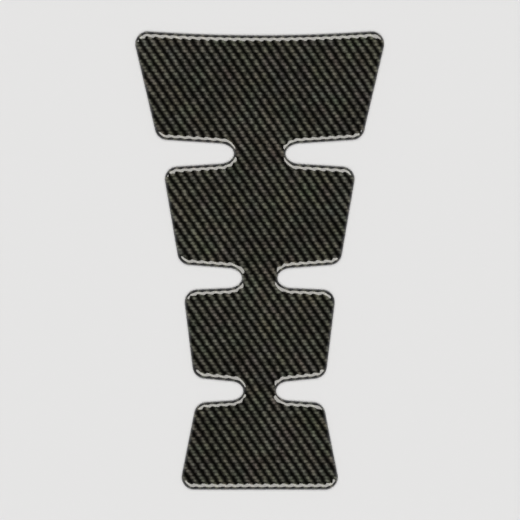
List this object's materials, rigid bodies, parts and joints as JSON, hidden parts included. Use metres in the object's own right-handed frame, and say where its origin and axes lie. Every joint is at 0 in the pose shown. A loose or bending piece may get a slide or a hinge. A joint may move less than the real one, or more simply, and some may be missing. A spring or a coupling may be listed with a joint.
{
  "type": "motorcycle tank pad",
  "caption": "Spine-shaped adhesive tank pad: tapering plates joined by narrow necks, with a rounded rim and a raised carbon-look diagonal twill on a flat back.",
  "frame": {"origin": "middle of the pad's length and width, on the flat adhesive back", "axes": "+Y towards the wide shoulder, the end nearest the rider's view of the tank cap; +X across the pad; +Z out of the patterned face, away from the tank"},
  "size_m": [0.1194, 0.22, 0.0022],
  "materials": {
    "carbon_look_skin": "satin-gloss moulded skin with a black and grey-olive carbon-look twill"
  },
  "bodies": {
    "root": {"tank_pad": "carbon_look_skin"}
  },
  "joints": []
}
